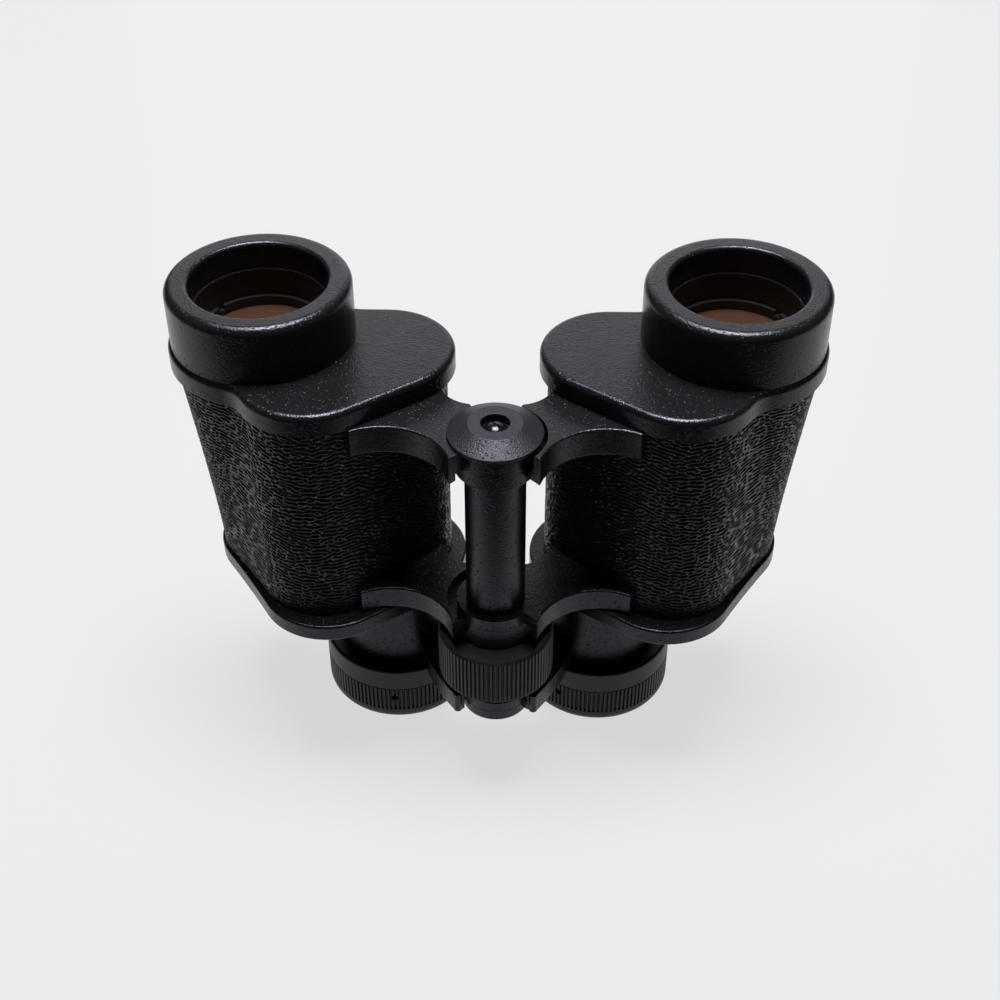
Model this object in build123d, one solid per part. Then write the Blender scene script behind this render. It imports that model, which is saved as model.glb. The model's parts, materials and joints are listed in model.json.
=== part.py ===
from build123d import *
import os
from dataclasses import dataclass, replace
from math import atan2, cos, pi, radians, sin, sqrt

# Prism binoculars standing on their eyecups, objectives up, in millimetres.
# While the pieces are made, the hinge axis is the Z axis and the floor is Z = 0.
# Every side piece is made for the right side (+X) and mirrored for the left.

# Optical axes, measured from the hinge axis
OBJECTIVE_X = 53.4
OBJECTIVE_Y = 30.3
EYEPIECE_X = 25.7
EYEPIECE_Y = 26.8

# Heights from the floor up
RIM_HEIGHT = 3.8
EYECUP_HEIGHT = 11.05
EYECUP_GAP = 0.3
INDEX_RING_TOP = 17.6
BRIDGE_BOTTOM = 18.4
BRIDGE_HEIGHT = 5.4
SLEEVE_TOP = 35.0
WHEEL_BOTTOM = 29.6
WHEEL_TOP = 42.9
EYE_COVER_BOTTOM = 41.2
EYE_COVER_THICKNESS = 4.4
BODY_HEIGHT = 53.8
PLATE_THICKNESS = 5.2
BARREL_HEIGHT = 14.3

# Fits and gaps
FIXED_FIT = 0.02
RUNNING_FIT = 0.05
FACE_GAP = 0.1

# Walls
LEATHER = 0.8
HOUSING_WALL = 2.0
LEDGE = 2.5

# Lobe radii of the prism housing and its two covers
BODY_TOP_O = 20.5
BODY_FOOT_O = 15.1
BODY_M = 15.8
BODY_E = 14.3
BODY_VALLEY = 9.0
FOOT_VALLEY = 300.0
BODY_BACK = 6.0
LOBE_E_SET_FORWARD = 1.6
PLATE_O = 21.7
PLATE_OVERHANG_M = 1.0
PLATE_OVERHANG_E = 1.9
PLATE_ROUND = 1.4
PLATE_POCKET_DEPTH = 2.6
PLATE_RIM = 3.2
FLANGE_O = 15.8
FLANGE_M = 16.8
FLANGE_E = 17.85
FLANGE_M_SHIFT_X = 1.0
FLANGE_M_SET_FORWARD = 2.9
FLANGE_E_SET_FORWARD = 3.05
FLANGE_ROUND = 0.6

# Objective
BARREL_R = 21.0
BARREL_BORE = 15.5
BARREL_ROUND = 2.0
BORE_ROUND = 1.0
HOOD_DEPTH = 6.6
HOOD_LIP = 2.8
HOOD_LIP_R = 14.8
SPIGOT_R = 17.55
SPIGOT_DEPTH = 2.8
CELL_R = 16.0
CELL_WALL = 1.0
CELL_SEAT = 1.2
CELL_BELOW_PLATE = 2.4
CELL_SEAT_R = 13.8
RETAINER_R = 14.0
RETAINER_HEIGHT = 2.4
SPANNER_SLOT_WIDTH = 1.6
SPANNER_SLOT_DEPTH = 1.0
SPANNER_SLOT_ANGLE = 40.0
FLINT_CENTRE = 1.6
CROWN_CENTRE = 4.6
CEMENT_CURVE = 60.0
FRONT_CURVE = 75.0

# Prisms
PRISM_HALF_WIDTH = 8.5
PRISM_END_R = 9.4
PRISM_FLAT = 1.2
UPPER_PRISM_DROP = 22.4
LOWER_PRISM_RISE = 19.6
LIGHT_HOLE = 7.6
OBJECTIVE_LIGHT_HOLE = 10.5
CLIP_THICKNESS = 0.6
CLIP_WIDTH = 5.0
CLIP_GAP = 0.15

# Cover screws
SCREW_R = 0.8
SCREW_HEAD_R = 1.6
SCREW_HEAD_HEIGHT = 0.9
SCREW_LENGTH = 7.0
SCREW_BOSS_R = 2.2
SCREW_BOSS_HEIGHT = 6.5
SCREW_EDGE = 2.4
SLOT_WIDTH = 0.4
SLOT_DEPTH = 0.5

# Hinge arms and axle
UPPER_ARM_HEIGHT = 7.0
LOWER_ARM_HEIGHT = 6.0
ARM_SEAM = 0.4
ARM_ROUND = 0.45
LUG_R = 9.0
POCKET_GAP = 2.4
UPPER_LUG_HEIGHT = 5.0
LUG_BELOW_ARM = 1.5
AXLE_R = 6.0
AXLE_BORE = 4.5
AXLE_BELOW_LUGS = 12.0
TUBE_R = 6.85
CAP_R = 10.55
CAP_EDGE = 0.6
CAP_FLAT_R = 6.05
CAP_HEIGHT = 2.95
CAP_HOLE_R = 3.15
CAP_HOLE_DEPTH = 1.9
CAP_SPIGOT_LENGTH = 5.5
CAP_ROUND = 0.25
CAP_SCREW_R = 1.5
CAP_SCREW_HEAD_R = 2.9
CAP_SCREW_DOME = 1.6
CAP_SCREW_LENGTH = 4.5
CAP_SLOT_ANGLE = -50.0
WASHER_R = 9.0
CIRCLIP_R = 7.4
CIRCLIP_THICKNESS = 1.0
CIRCLIP_GROOVE = 0.5
CIRCLIP_EDGE = 0.4

# Focus drive
WHEEL_R = 13.7
WHEEL_RIBS = 80
WHEEL_CHAMFER = 0.6
WHEEL_CAVITY_R = 8.6
RIB_DEPTH = 0.45
NUT_HEIGHT = 3.9
SPINDLE_R = 3.5
SPINDLE_LENGTH = 60.0
BUSH_R = 5.5
BUSH_FLANGE_R = 7.0
BUSH_FLANGE = 0.6
HUB_R = 8.25
HUB_POCKET_GAP = 0.6
END_SCREW_R = 6.2
END_SCREW_HEAD = 1.2
END_SCREW_SHANK_R = 2.0
END_SCREW_LENGTH = 7.0
HUB_CHAMFER = 0.3

# Eyepieces
SLEEVE_R = 15.2
SLEEVE_WALL = 1.95
BRIDGE_RING = 1.0
GUIDE_WALL = 1.55
GUIDE_BOTTOM = 24.5
EYE_TUBE_R = 11.3
EYE_TUBE_WALL = 1.1
EYE_TUBE_STEP = 0.6
EYE_TUBE_BOTTOM = 8.0
EYE_TUBE_TOP = 33.0
FIELD_SEAT = 27.0
EYE_LENS_EDGE = 3.0
FIELD_LENS_EDGE = 1.8
EYE_LENS_CURVE = 24.0
FIELD_LENS_CURVE = 30.0
EYE_LENS_RING_R = 12.2
EYE_LENS_RING_BORE = 9.2
EYE_LENS_RING_HEIGHT = 1.1

# Eyecups
EYECUP_R = 18.9
EYECUP_RIBS = 106
EYECUP_ROUND = 3.0
EYECUP_BOWL_R = 14.2
EYECUP_BOWL_DEPTH = 5.0
EYECUP_NECK_R = 12.6
EYECUP_NECK_RISE = 1.6
INDEX_ROUND = 0.8
GRUB_R = 0.9
GRUB_LENGTH = 3.0
GRUB_HEIGHT = 8.2
RIGHT_GRUB_ANGLE = -122.0
LEFT_GRUB_ANGLE = -89.0

# Strap lugs, behind the objective barrels
LUG_EYE_REACH = 23.7
LUG_EYE_R = 3.0
LUG_HOLE_R = 1.75
LUG_THICKNESS = 3.0
LUG_BELOW_PLATE = 8.0
LUG_ANGLE = 75.0

# Heights and places worked out from the values above
EYE_COVER_TOP = EYE_COVER_BOTTOM + EYE_COVER_THICKNESS
BODY_BOTTOM = EYE_COVER_TOP
BODY_TOP = BODY_BOTTOM + BODY_HEIGHT
PLATE_TOP = BODY_TOP + PLATE_THICKNESS
BARREL_TOP = PLATE_TOP + BARREL_HEIGHT
UPPER_ARM_BOTTOM = BODY_TOP - UPPER_ARM_HEIGHT
UPPER_LUG_SEAM = BODY_TOP - UPPER_LUG_HEIGHT
UPPER_LUG_FOOT = UPPER_ARM_BOTTOM - LUG_BELOW_ARM
LOWER_ARM_BOTTOM = BODY_BOTTOM + ARM_SEAM
LOWER_ARM_TOP = LOWER_ARM_BOTTOM + LOWER_ARM_HEIGHT
LOWER_LUG_SEAM = (LOWER_ARM_BOTTOM + LOWER_ARM_TOP) / 2
AXLE_BOTTOM = LOWER_ARM_BOTTOM - AXLE_BELOW_LUGS
BRIDGE_TOP = BRIDGE_BOTTOM + BRIDGE_HEIGHT
BRIDGE_SEAM = (BRIDGE_BOTTOM + BRIDGE_TOP) / 2
UPPER_PRISM_Z = BODY_TOP - UPPER_PRISM_DROP
LOWER_PRISM_Z = BODY_BOTTOM + LOWER_PRISM_RISE
SLEEVE_BORE = SLEEVE_R - SLEEVE_WALL
GUIDE_R = SLEEVE_BORE - RUNNING_FIT
LENS_R = CELL_R - CELL_WALL - RUNNING_FIT
EYE_LENS_R = EYE_TUBE_R - EYE_TUBE_WALL - RUNNING_FIT
POCKET_R = LUG_R + POCKET_GAP
HUB_POCKET_R = HUB_R + HUB_POCKET_GAP
SAME = 0.001
FAR = 200.0

HINGE = (0.0, 0.0)
OBJECTIVE = (OBJECTIVE_X, OBJECTIVE_Y)
EYEPIECE = (EYEPIECE_X, EYEPIECE_Y)
# The light path's middle leg stands at the right angle between the other two
MIDDLE = (
    (OBJECTIVE_X + EYEPIECE_X + OBJECTIVE_Y - EYEPIECE_Y) / 2,
    (OBJECTIVE_Y + EYEPIECE_Y - OBJECTIVE_X + EYEPIECE_X) / 2,
)
LUG_EYE = (
    OBJECTIVE_X + LUG_EYE_REACH * cos(radians(LUG_ANGLE)),
    OBJECTIVE_Y + LUG_EYE_REACH * sin(radians(LUG_ANGLE)),
)

# The origin is under the middle of the whole part, so the hinge axis stands in front of it
FRONT = -WHEEL_R
BACK = max(OBJECTIVE_Y + PLATE_O, LUG_EYE[1] + LUG_EYE_R)
HINGE_Y = -(FRONT + BACK) / 2


# Small helpers
def shifted(point, dx, dy):
    return (point[0] + dx, point[1] + dy)


def toward(start, end, distance):
    """Point at a distance from start on the way to end."""
    dx = end[0] - start[0]
    dy = end[1] - start[1]
    length = sqrt(dx * dx + dy * dy)
    return (start[0] + dx * distance / length, start[1] + dy * distance / length)


def gap_between(a, b):
    return sqrt((b[0] - a[0]) ** 2 + (b[1] - a[1]) ** 2)


def midpoint(a, b):
    return ((a[0] + b[0]) / 2, (a[1] + b[1]) / 2)


def disc(centre, radius, bottom, top):
    """Upright cylinder between two heights."""
    cylinder = Cylinder(radius, top - bottom, align=(Align.CENTER, Align.CENTER, Align.MIN))
    return Pos(centre[0], centre[1], bottom) * cylinder


def turned(centre, *profile):
    """Turned piece from its (radius, height) profile."""
    face = make_face(Plane.XZ * Polyline(*profile, close=True))
    return Pos(centre[0], centre[1], 0) * revolve(face, Axis.Z)


def tube(centre, outer, inner, bottom, top):
    return turned(centre, (inner, bottom), (outer, bottom), (outer, top), (inner, top))


def circles(piece, radius, height):
    """Circular edges of one radius at one height."""
    found = piece.edges().filter_by(GeomType.CIRCLE)
    return [e for e in found if abs(e.radius - radius) < SAME and abs(e.arc_center.Z - height) < SAME]


def sag(curve, radius):
    return curve - sqrt(curve * curve - radius * radius)


def prism_plan(edges, bottom, top):
    """Solid on a plan outline between two heights."""
    return Pos(0, 0, bottom) * extrude(make_face(edges), top - bottom)


def rounded_plan(edges, free, bottom, top, radius):
    """Solid on a plan outline, rounded above and below along its first few edges, which stand free."""
    block = prism_plan(edges, bottom, top)
    middles = [edge @ 0.5 for edge in edges[:free]]
    rims = []
    for rim in block.edges():
        place = rim @ 0.5
        level = min(abs(place.Z - bottom), abs(place.Z - top)) < SAME
        if level and any(gap_between(tuple(place), tuple(middle)) < SAME for middle in middles):
            rims.append(rim)
    return fillet(rims, radius)


# Outlines around the three lobes of a housing: objective, middle leg and eyepiece
@dataclass
class Lobes:
    o: tuple
    r_o: float
    m: tuple
    r_m: float
    e: tuple
    r_e: float
    valley: float
    back: float

    def inset(self, wall):
        """The same outline, moved in by a wall thickness."""
        return replace(
            self,
            r_o=self.r_o - wall,
            r_m=self.r_m - wall,
            r_e=self.r_e - wall,
            valley=self.valley + wall,
            back=self.back + wall,
        )


def lobe_arc(centre, radius, start, end):
    """Arc clockwise round a lobe."""
    first = atan2(start[1] - centre[1], start[0] - centre[0])
    last = atan2(end[1] - centre[1], end[0] - centre[0])
    if last > first:
        last -= 2 * pi
    middle = (first + last) / 2
    through = shifted(centre, radius * cos(middle), radius * sin(middle))
    return ThreePointArc(start, through, end)


def hollow_arc(centre, radius, start, end):
    """Arc of a hollow fillet, by its nearer side."""
    return ThreePointArc(start, toward(centre, midpoint(start, end), radius), end)


def outline(lobes):
    """Closed outline: lobes joined by tangent lines and by two hollow fillets."""
    # Hollow between the objective and middle lobes, on the outer side
    far_o = lobes.r_o + lobes.valley
    far_m = lobes.r_m + lobes.valley
    base = gap_between(lobes.o, lobes.m)
    along = (far_o**2 - far_m**2 + base**2) / (2 * base)
    aside = sqrt(far_o**2 - along**2)
    ux = (lobes.m[0] - lobes.o[0]) / base
    uy = (lobes.m[1] - lobes.o[1]) / base
    valley = shifted(lobes.o, ux * along - uy * aside, uy * along + ux * aside)
    valley_start = toward(lobes.o, valley, lobes.r_o)
    valley_end = toward(lobes.m, valley, lobes.r_m)
    # Straight front edge between the middle and eyepiece lobes
    span = gap_between(lobes.m, lobes.e)
    tx = (lobes.e[0] - lobes.m[0]) / span
    ty = (lobes.e[1] - lobes.m[1]) / span
    lean = (lobes.r_m - lobes.r_e) / span
    upright = sqrt(1 - lean * lean)
    nx = tx * lean - ty * upright
    ny = ty * lean + tx * upright
    front_start = shifted(lobes.m, nx * lobes.r_m, ny * lobes.r_m)
    front_end = shifted(lobes.e, nx * lobes.r_e, ny * lobes.r_e)
    # Straight back edge with a hollow where it meets the objective lobe
    back_y = lobes.e[1] + lobes.r_e
    drop = back_y + lobes.back - lobes.o[1]
    reach = sqrt((lobes.r_o + lobes.back) ** 2 - drop**2)
    back = (lobes.o[0] - reach, back_y + lobes.back)
    back_start = (lobes.e[0], back_y)
    back_end = (back[0], back_y)
    objective_start = toward(lobes.o, back, lobes.r_o)
    return [
        lobe_arc(lobes.o, lobes.r_o, objective_start, valley_start),
        hollow_arc(valley, lobes.valley, valley_start, valley_end),
        lobe_arc(lobes.m, lobes.r_m, valley_end, front_start),
        Line(front_start, front_end),
        lobe_arc(lobes.e, lobes.r_e, front_end, back_start),
        Line(back_start, back_end),
        hollow_arc(back, lobes.back, back_end, objective_start),
    ]


LOBE_E = shifted(EYEPIECE, 0, -LOBE_E_SET_FORWARD)
TOP_SECTION = Lobes(OBJECTIVE, BODY_TOP_O, MIDDLE, BODY_M, LOBE_E, BODY_E, BODY_VALLEY, BODY_BACK)
FOOT_SECTION = replace(TOP_SECTION, r_o=BODY_FOOT_O, valley=FOOT_VALLEY)
PLATE_SECTION = replace(
    TOP_SECTION,
    r_o=PLATE_O,
    r_m=BODY_M + PLATE_OVERHANG_M,
    r_e=BODY_E + PLATE_OVERHANG_E,
)
FLANGE_SECTION = Lobes(
    OBJECTIVE,
    FLANGE_O,
    shifted(MIDDLE, -FLANGE_M_SHIFT_X, -FLANGE_M_SET_FORWARD),
    FLANGE_M,
    shifted(EYEPIECE, 0, -FLANGE_E_SET_FORWARD),
    FLANGE_E,
    FOOT_VALLEY,
    BODY_BACK,
)


def body_block(wall):
    """Tapering block of the prism housing, moved in by a wall thickness."""
    foot = Pos(0, 0, BODY_BOTTOM) * make_face(outline(FOOT_SECTION.inset(wall)))
    top = Pos(0, 0, BODY_TOP) * make_face(outline(TOP_SECTION.inset(wall)))
    return loft([foot, top], ruled=True)


# Hinge arms, cast on the housing: the lugs of each pair stand one on the other on the axle
ARM_STRIP_END = (31.5, 0.2)
ARM_HOLLOW = (22.0, 1.9)
ARM_TIP = (9.7, -9.2)
ARM_TIP_INNER = (8.6, -8.0)
ARM_BACK = (5.9, 10.8)
ARM_BACK_HOLLOW = (9.6, 12.4)
ARM_BACK_END = (12.4, 16.2)


def lapped_arm(arm, ring_r, pocket_r, bore_r, foot, seam, top, ring_on_top):
    """Arm with its own ring on one side of the seam and a pocket for the other arm's ring."""
    if ring_on_top:
        ring_z = (seam + FACE_GAP / 2, top)
        pocket_z = (foot, seam + FACE_GAP / 2)
    else:
        ring_z = (foot, seam - FACE_GAP / 2)
        pocket_z = (seam - FACE_GAP / 2, top)
    arm -= disc(HINGE, pocket_r, *pocket_z)
    arm += disc(HINGE, ring_r, *ring_z)
    return arm - disc(HINGE, bore_r, foot, top)


def arm_block(bottom, top):
    plan = [
        ThreePointArc(ARM_STRIP_END, ARM_HOLLOW, ARM_TIP),
        Line(ARM_TIP, ARM_TIP_INNER),
        Line(ARM_TIP_INNER, HINGE),
        Line(HINGE, ARM_BACK),
        ThreePointArc(ARM_BACK, ARM_BACK_HOLLOW, ARM_BACK_END),
        Line(ARM_BACK_END, LOBE_E),
        Line(LOBE_E, MIDDLE),
        Line(MIDDLE, ARM_STRIP_END),
    ]
    return rounded_plan(plan, 2, bottom, top, ARM_ROUND)


def hinge_arms(upper_on_top, bore_r):
    lug = (LUG_R, POCKET_R, bore_r)
    upper = arm_block(UPPER_ARM_BOTTOM, BODY_TOP)
    upper = lapped_arm(upper, *lug, UPPER_LUG_FOOT, UPPER_LUG_SEAM, BODY_TOP, upper_on_top)
    lower = arm_block(LOWER_ARM_BOTTOM, LOWER_ARM_TOP)
    lower = lapped_arm(lower, *lug, LOWER_ARM_BOTTOM, LOWER_LUG_SEAM, LOWER_ARM_TOP, not upper_on_top)
    return upper + lower


# Strap lug: a flat eye on a stalk that passes through the covering
def lug_block():
    bottom = BODY_TOP - LUG_BELOW_PLATE
    stalk = Box(LUG_EYE_REACH, 2 * LUG_EYE_R, LUG_THICKNESS, align=(Align.MIN, Align.CENTER, Align.MIN))
    stalk = Location((OBJECTIVE_X, OBJECTIVE_Y, bottom), (0, 0, LUG_ANGLE)) * stalk
    eye = stalk + disc(LUG_EYE, LUG_EYE_R, bottom, bottom + LUG_THICKNESS)
    return eye - disc(LUG_EYE, LUG_HOLE_R, bottom, bottom + LUG_THICKNESS)


def strap_lug():
    return lug_block() - body_block(LEATHER)


# Cover screws stand at the outer ends of two lobes and along the back wall, clear of the light path
def screw_places():
    inside = LEATHER + HOUSING_WALL + SCREW_EDGE / 2
    at_o = toward(OBJECTIVE, MIDDLE, -(BODY_FOOT_O - inside))
    at_m = toward(MIDDLE, OBJECTIVE, -(BODY_M - inside))
    at_back = ((OBJECTIVE_X + EYEPIECE_X) / 2, LOBE_E[1] + BODY_E - inside)
    return [at_o, at_m, at_back]


def cover_screw(place, extra=0.0):
    """Countersunk screw, or its hole when extra room is given."""
    neck = EYE_COVER_BOTTOM + SCREW_HEAD_HEIGHT
    return turned(
        place,
        (0, EYE_COVER_BOTTOM),
        (SCREW_HEAD_R + extra, EYE_COVER_BOTTOM),
        (SCREW_R + extra, neck),
        (SCREW_R + extra, EYE_COVER_BOTTOM + SCREW_LENGTH + extra),
        (0, EYE_COVER_BOTTOM + SCREW_LENGTH + extra),
    )


def cover_screws():
    screws = []
    for place in screw_places():
        slot = Pos(place[0], place[1], EYE_COVER_BOTTOM) * Box(2 * SCREW_HEAD_R, SLOT_WIDTH, 2 * SLOT_DEPTH)
        screws.append(cover_screw(place) - slot)
    return Compound(screws)


# Housing: shell, two ledges for the prisms, screw bosses and the hinge arms
def ledges():
    reach = Box(FAR, FAR, LEDGE, align=(Align.CENTER, Align.CENTER, Align.MIN))
    upper = Pos(0, 0, UPPER_PRISM_Z - LEDGE) * reach
    lower = Pos(0, 0, LOWER_PRISM_Z) * reach
    both = upper + lower
    both -= disc(OBJECTIVE, OBJECTIVE_LIGHT_HOLE, BODY_BOTTOM, BODY_TOP)
    both -= disc(MIDDLE, LIGHT_HOLE, BODY_BOTTOM, BODY_TOP)
    both -= disc(EYEPIECE, LIGHT_HOLE, BODY_BOTTOM, BODY_TOP)
    return both


def housing(upper_on_top, bore_r):
    block = body_block(LEATHER)
    hollow = body_block(LEATHER + HOUSING_WALL) - ledges()
    for place in screw_places():
        hollow -= disc(place, SCREW_BOSS_R, BODY_BOTTOM, BODY_BOTTOM + SCREW_BOSS_HEIGHT)
    shell = block - hollow
    shell -= disc(OBJECTIVE, SPIGOT_R + FIXED_FIT, BODY_TOP - SPIGOT_DEPTH, BODY_TOP)
    for place in screw_places():
        shell -= cover_screw(place, FIXED_FIT)
    return shell + (hinge_arms(upper_on_top, bore_r) - block)


def leatherette(upper_on_top, bore_r):
    skin = body_block(0) - body_block(LEATHER)
    return skin - hinge_arms(upper_on_top, bore_r) - lug_block()


# Prisms, hypotenuse on the ledge and roof pointing away from it
def prism(start, end, height, way):
    leg = gap_between(start, end)
    middle = midpoint(start, end)
    run = Vector(end[0] - start[0], end[1] - start[1], 0)
    plane = Plane(origin=(middle[0], middle[1], height), x_dir=run, z_dir=run.cross(Vector(0, 0, way)))
    roof = Polyline(
        (-leg, 0), (leg, 0), (PRISM_FLAT, leg - PRISM_FLAT), (-PRISM_FLAT, leg - PRISM_FLAT), close=True
    )
    block = extrude(make_face(plane * roof), PRISM_HALF_WIDTH, both=True)
    low = min(height, height + way * leg)
    ends = disc(start, PRISM_END_R, low, low + leg) + disc(end, PRISM_END_R, low, low + leg)
    turn = atan2(run.Y, run.X) * 180 / pi
    waist = Location((middle[0], middle[1], low + leg / 2), (0, 0, turn)) * Box(leg, 2 * PRISM_END_R, leg)
    return block & (ends + waist)


def prism_clip(start, end, height, way):
    """Spring strap over the roof of a prism, with its feet on the ledge."""
    leg = gap_between(start, end)
    middle = midpoint(start, end)
    turn = atan2(end[1] - start[1], end[0] - start[0]) * 180 / pi
    inner = PRISM_HALF_WIDTH + CLIP_GAP
    rise = leg - PRISM_FLAT
    outer = Box(CLIP_WIDTH, 2 * (inner + CLIP_THICKNESS), rise + CLIP_THICKNESS)
    outer = Pos(0, 0, way * (rise + CLIP_THICKNESS) / 2) * outer
    room = Pos(0, 0, way * rise / 2) * Box(CLIP_WIDTH, 2 * inner, rise)
    return Location((middle[0], middle[1], height), (0, 0, turn)) * (outer - room)


def prism_clips():
    upper = prism_clip(MIDDLE, EYEPIECE, UPPER_PRISM_Z, 1)
    lower = prism_clip(OBJECTIVE, MIDDLE, LOWER_PRISM_Z, -1)
    return Compound([upper.solid(), lower.solid()])


# Objective end: cover plate, barrel, cell and the cemented pair of lenses
def objective_cover():
    plate = prism_plan(outline(PLATE_SECTION), BODY_TOP, PLATE_TOP)
    plate = fillet(plate.faces().sort_by(Axis.Z)[-1].edges(), PLATE_ROUND)
    pocket = prism_plan(outline(PLATE_SECTION.inset(PLATE_RIM)), BODY_TOP, BODY_TOP + PLATE_POCKET_DEPTH)
    plate -= pocket - disc(OBJECTIVE, PLATE_O - PLATE_RIM + SPIGOT_R - CELL_R, BODY_TOP, PLATE_TOP)
    return plate - disc(OBJECTIVE, SPIGOT_R + FIXED_FIT, BODY_TOP, PLATE_TOP)


HOOD_STEP = BARREL_TOP - HOOD_DEPTH
CELL_TOP = HOOD_STEP - HOOD_LIP
CELL_BOTTOM = BODY_TOP - CELL_BELOW_PLATE
FLINT_Z = CELL_BOTTOM + CELL_SEAT
CEMENT_Z = FLINT_Z + FLINT_CENTRE
CROWN_TOP = CEMENT_Z + CROWN_CENTRE


def objective_barrel():
    barrel = turned(
        OBJECTIVE,
        (CELL_R + FIXED_FIT, BODY_TOP - SPIGOT_DEPTH),
        (SPIGOT_R, BODY_TOP - SPIGOT_DEPTH),
        (SPIGOT_R, PLATE_TOP),
        (BARREL_R, PLATE_TOP),
        (BARREL_R, BARREL_TOP),
        (BARREL_BORE, BARREL_TOP),
        (BARREL_BORE, HOOD_STEP),
        (HOOD_LIP_R, HOOD_STEP),
        (HOOD_LIP_R, CELL_TOP),
        (CELL_R + FIXED_FIT, CELL_TOP),
    )
    barrel = fillet(circles(barrel, BARREL_R, BARREL_TOP), BARREL_ROUND)
    return fillet(circles(barrel, BARREL_BORE, BARREL_TOP), BORE_ROUND)


def objective_cell():
    return turned(
        OBJECTIVE,
        (CELL_SEAT_R, CELL_BOTTOM),
        (CELL_R, CELL_BOTTOM),
        (CELL_R, CELL_TOP),
        (CELL_R - CELL_WALL, CELL_TOP),
        (CELL_R - CELL_WALL, FLINT_Z),
        (CELL_SEAT_R, FLINT_Z),
    )


def lens_arc(height, curve, radius, way):
    """Lens surface from the axis out to the edge; way 1 rises outwards and -1 falls."""
    half = radius / 2
    half_height = height + way * sag(curve, half)
    return ThreePointArc((0, height), (half, half_height), (radius, height + way * sag(curve, radius)))


def turned_lens(centre, lower, upper):
    """Lens between two surface curves, both from the axis to the edge."""
    axis = Line(lower @ 0, upper @ 0)
    edge = Line(lower @ 1, upper @ 1)
    face = make_face(Plane.XZ * Curve([lower, edge, upper, axis]))
    return Pos(centre[0], centre[1], 0) * revolve(face, Axis.Z)


def objective_flint():
    lower = Line((0, FLINT_Z), (LENS_R, FLINT_Z))
    return turned_lens(OBJECTIVE, lower, lens_arc(CEMENT_Z, CEMENT_CURVE, LENS_R, 1))


def objective_crown():
    lower = lens_arc(CEMENT_Z, CEMENT_CURVE, LENS_R, 1)
    return turned_lens(OBJECTIVE, lower, lens_arc(CROWN_TOP, FRONT_CURVE, LENS_R, -1))


def objective_retainer():
    """Ring that holds the lenses down, with two slots across its top for a spanner."""
    bottom = CROWN_TOP - sag(FRONT_CURVE, RETAINER_R)
    top = bottom + RETAINER_HEIGHT
    ring = tube(OBJECTIVE, LENS_R, RETAINER_R, bottom, top)
    slots = Box(2 * BARREL_R, SPANNER_SLOT_WIDTH, 2 * SPANNER_SLOT_DEPTH)
    return ring - Location((OBJECTIVE_X, OBJECTIVE_Y, top), (0, 0, SPANNER_SLOT_ANGLE)) * slots


# Eyepiece end: cover, and the guide tube in it that the eyepiece sleeve slides on
def eyepiece_cover():
    plate = prism_plan(outline(FLANGE_SECTION), EYE_COVER_BOTTOM, EYE_COVER_TOP)
    faces = plate.faces().sort_by(Axis.Z)
    plate = fillet(faces[0].edges() + faces[-1].edges(), FLANGE_ROUND)
    plate -= disc(EYEPIECE, GUIDE_R + FIXED_FIT, EYE_COVER_BOTTOM, EYE_COVER_TOP)
    for place in screw_places():
        plate -= cover_screw(place, FIXED_FIT)
    return plate


def guide_tube():
    return tube(EYEPIECE, GUIDE_R, GUIDE_R - GUIDE_WALL, GUIDE_BOTTOM, EYE_COVER_TOP)


def eyepiece_sleeve():
    """Sleeve with a neck that stands in the bridge arm's ring, flush with it outside."""
    return turned(
        EYEPIECE,
        (SLEEVE_BORE, INDEX_RING_TOP),
        (SLEEVE_R - BRIDGE_RING - FIXED_FIT, INDEX_RING_TOP),
        (SLEEVE_R - BRIDGE_RING - FIXED_FIT, BRIDGE_TOP),
        (SLEEVE_R, BRIDGE_TOP),
        (SLEEVE_R, SLEEVE_TOP),
        (SLEEVE_BORE, SLEEVE_TOP),
    )


def index_ring():
    bottom = EYECUP_HEIGHT + EYECUP_GAP
    ring = tube(EYEPIECE, EYECUP_R, EYE_TUBE_R + RUNNING_FIT, bottom, INDEX_RING_TOP)
    return fillet(circles(ring, EYECUP_R, INDEX_RING_TOP), INDEX_ROUND)


EYE_LENS_TOP = EYE_TUBE_BOTTOM + EYE_LENS_EDGE + sag(EYE_LENS_CURVE, EYE_LENS_R)


def lens_tube():
    bore = EYE_TUBE_R - EYE_TUBE_WALL
    step = EYE_LENS_TOP - sag(EYE_LENS_CURVE, bore - EYE_TUBE_STEP)
    return turned(
        EYEPIECE,
        (bore, EYE_TUBE_BOTTOM),
        (EYE_TUBE_R, EYE_TUBE_BOTTOM),
        (EYE_TUBE_R, EYE_TUBE_TOP),
        (bore, EYE_TUBE_TOP),
        (bore, FIELD_SEAT),
        (bore - EYE_TUBE_STEP, FIELD_SEAT),
        (bore - EYE_TUBE_STEP, step),
        (bore, step),
    )


def eye_lens():
    lower = Line((0, EYE_TUBE_BOTTOM), (EYE_LENS_R, EYE_TUBE_BOTTOM))
    return turned_lens(EYEPIECE, lower, lens_arc(EYE_LENS_TOP, EYE_LENS_CURVE, EYE_LENS_R, -1))


def field_lens():
    lower = Line((0, FIELD_SEAT), (EYE_LENS_R, FIELD_SEAT))
    crest = FIELD_SEAT + FIELD_LENS_EDGE + sag(FIELD_LENS_CURVE, EYE_LENS_R)
    return turned_lens(EYEPIECE, lower, lens_arc(crest, FIELD_LENS_CURVE, EYE_LENS_R, -1))


def eye_lens_ring():
    bottom = EYE_TUBE_BOTTOM - EYE_LENS_RING_HEIGHT
    return tube(EYEPIECE, EYE_LENS_RING_R, EYE_LENS_RING_BORE, bottom, EYE_TUBE_BOTTOM)


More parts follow.
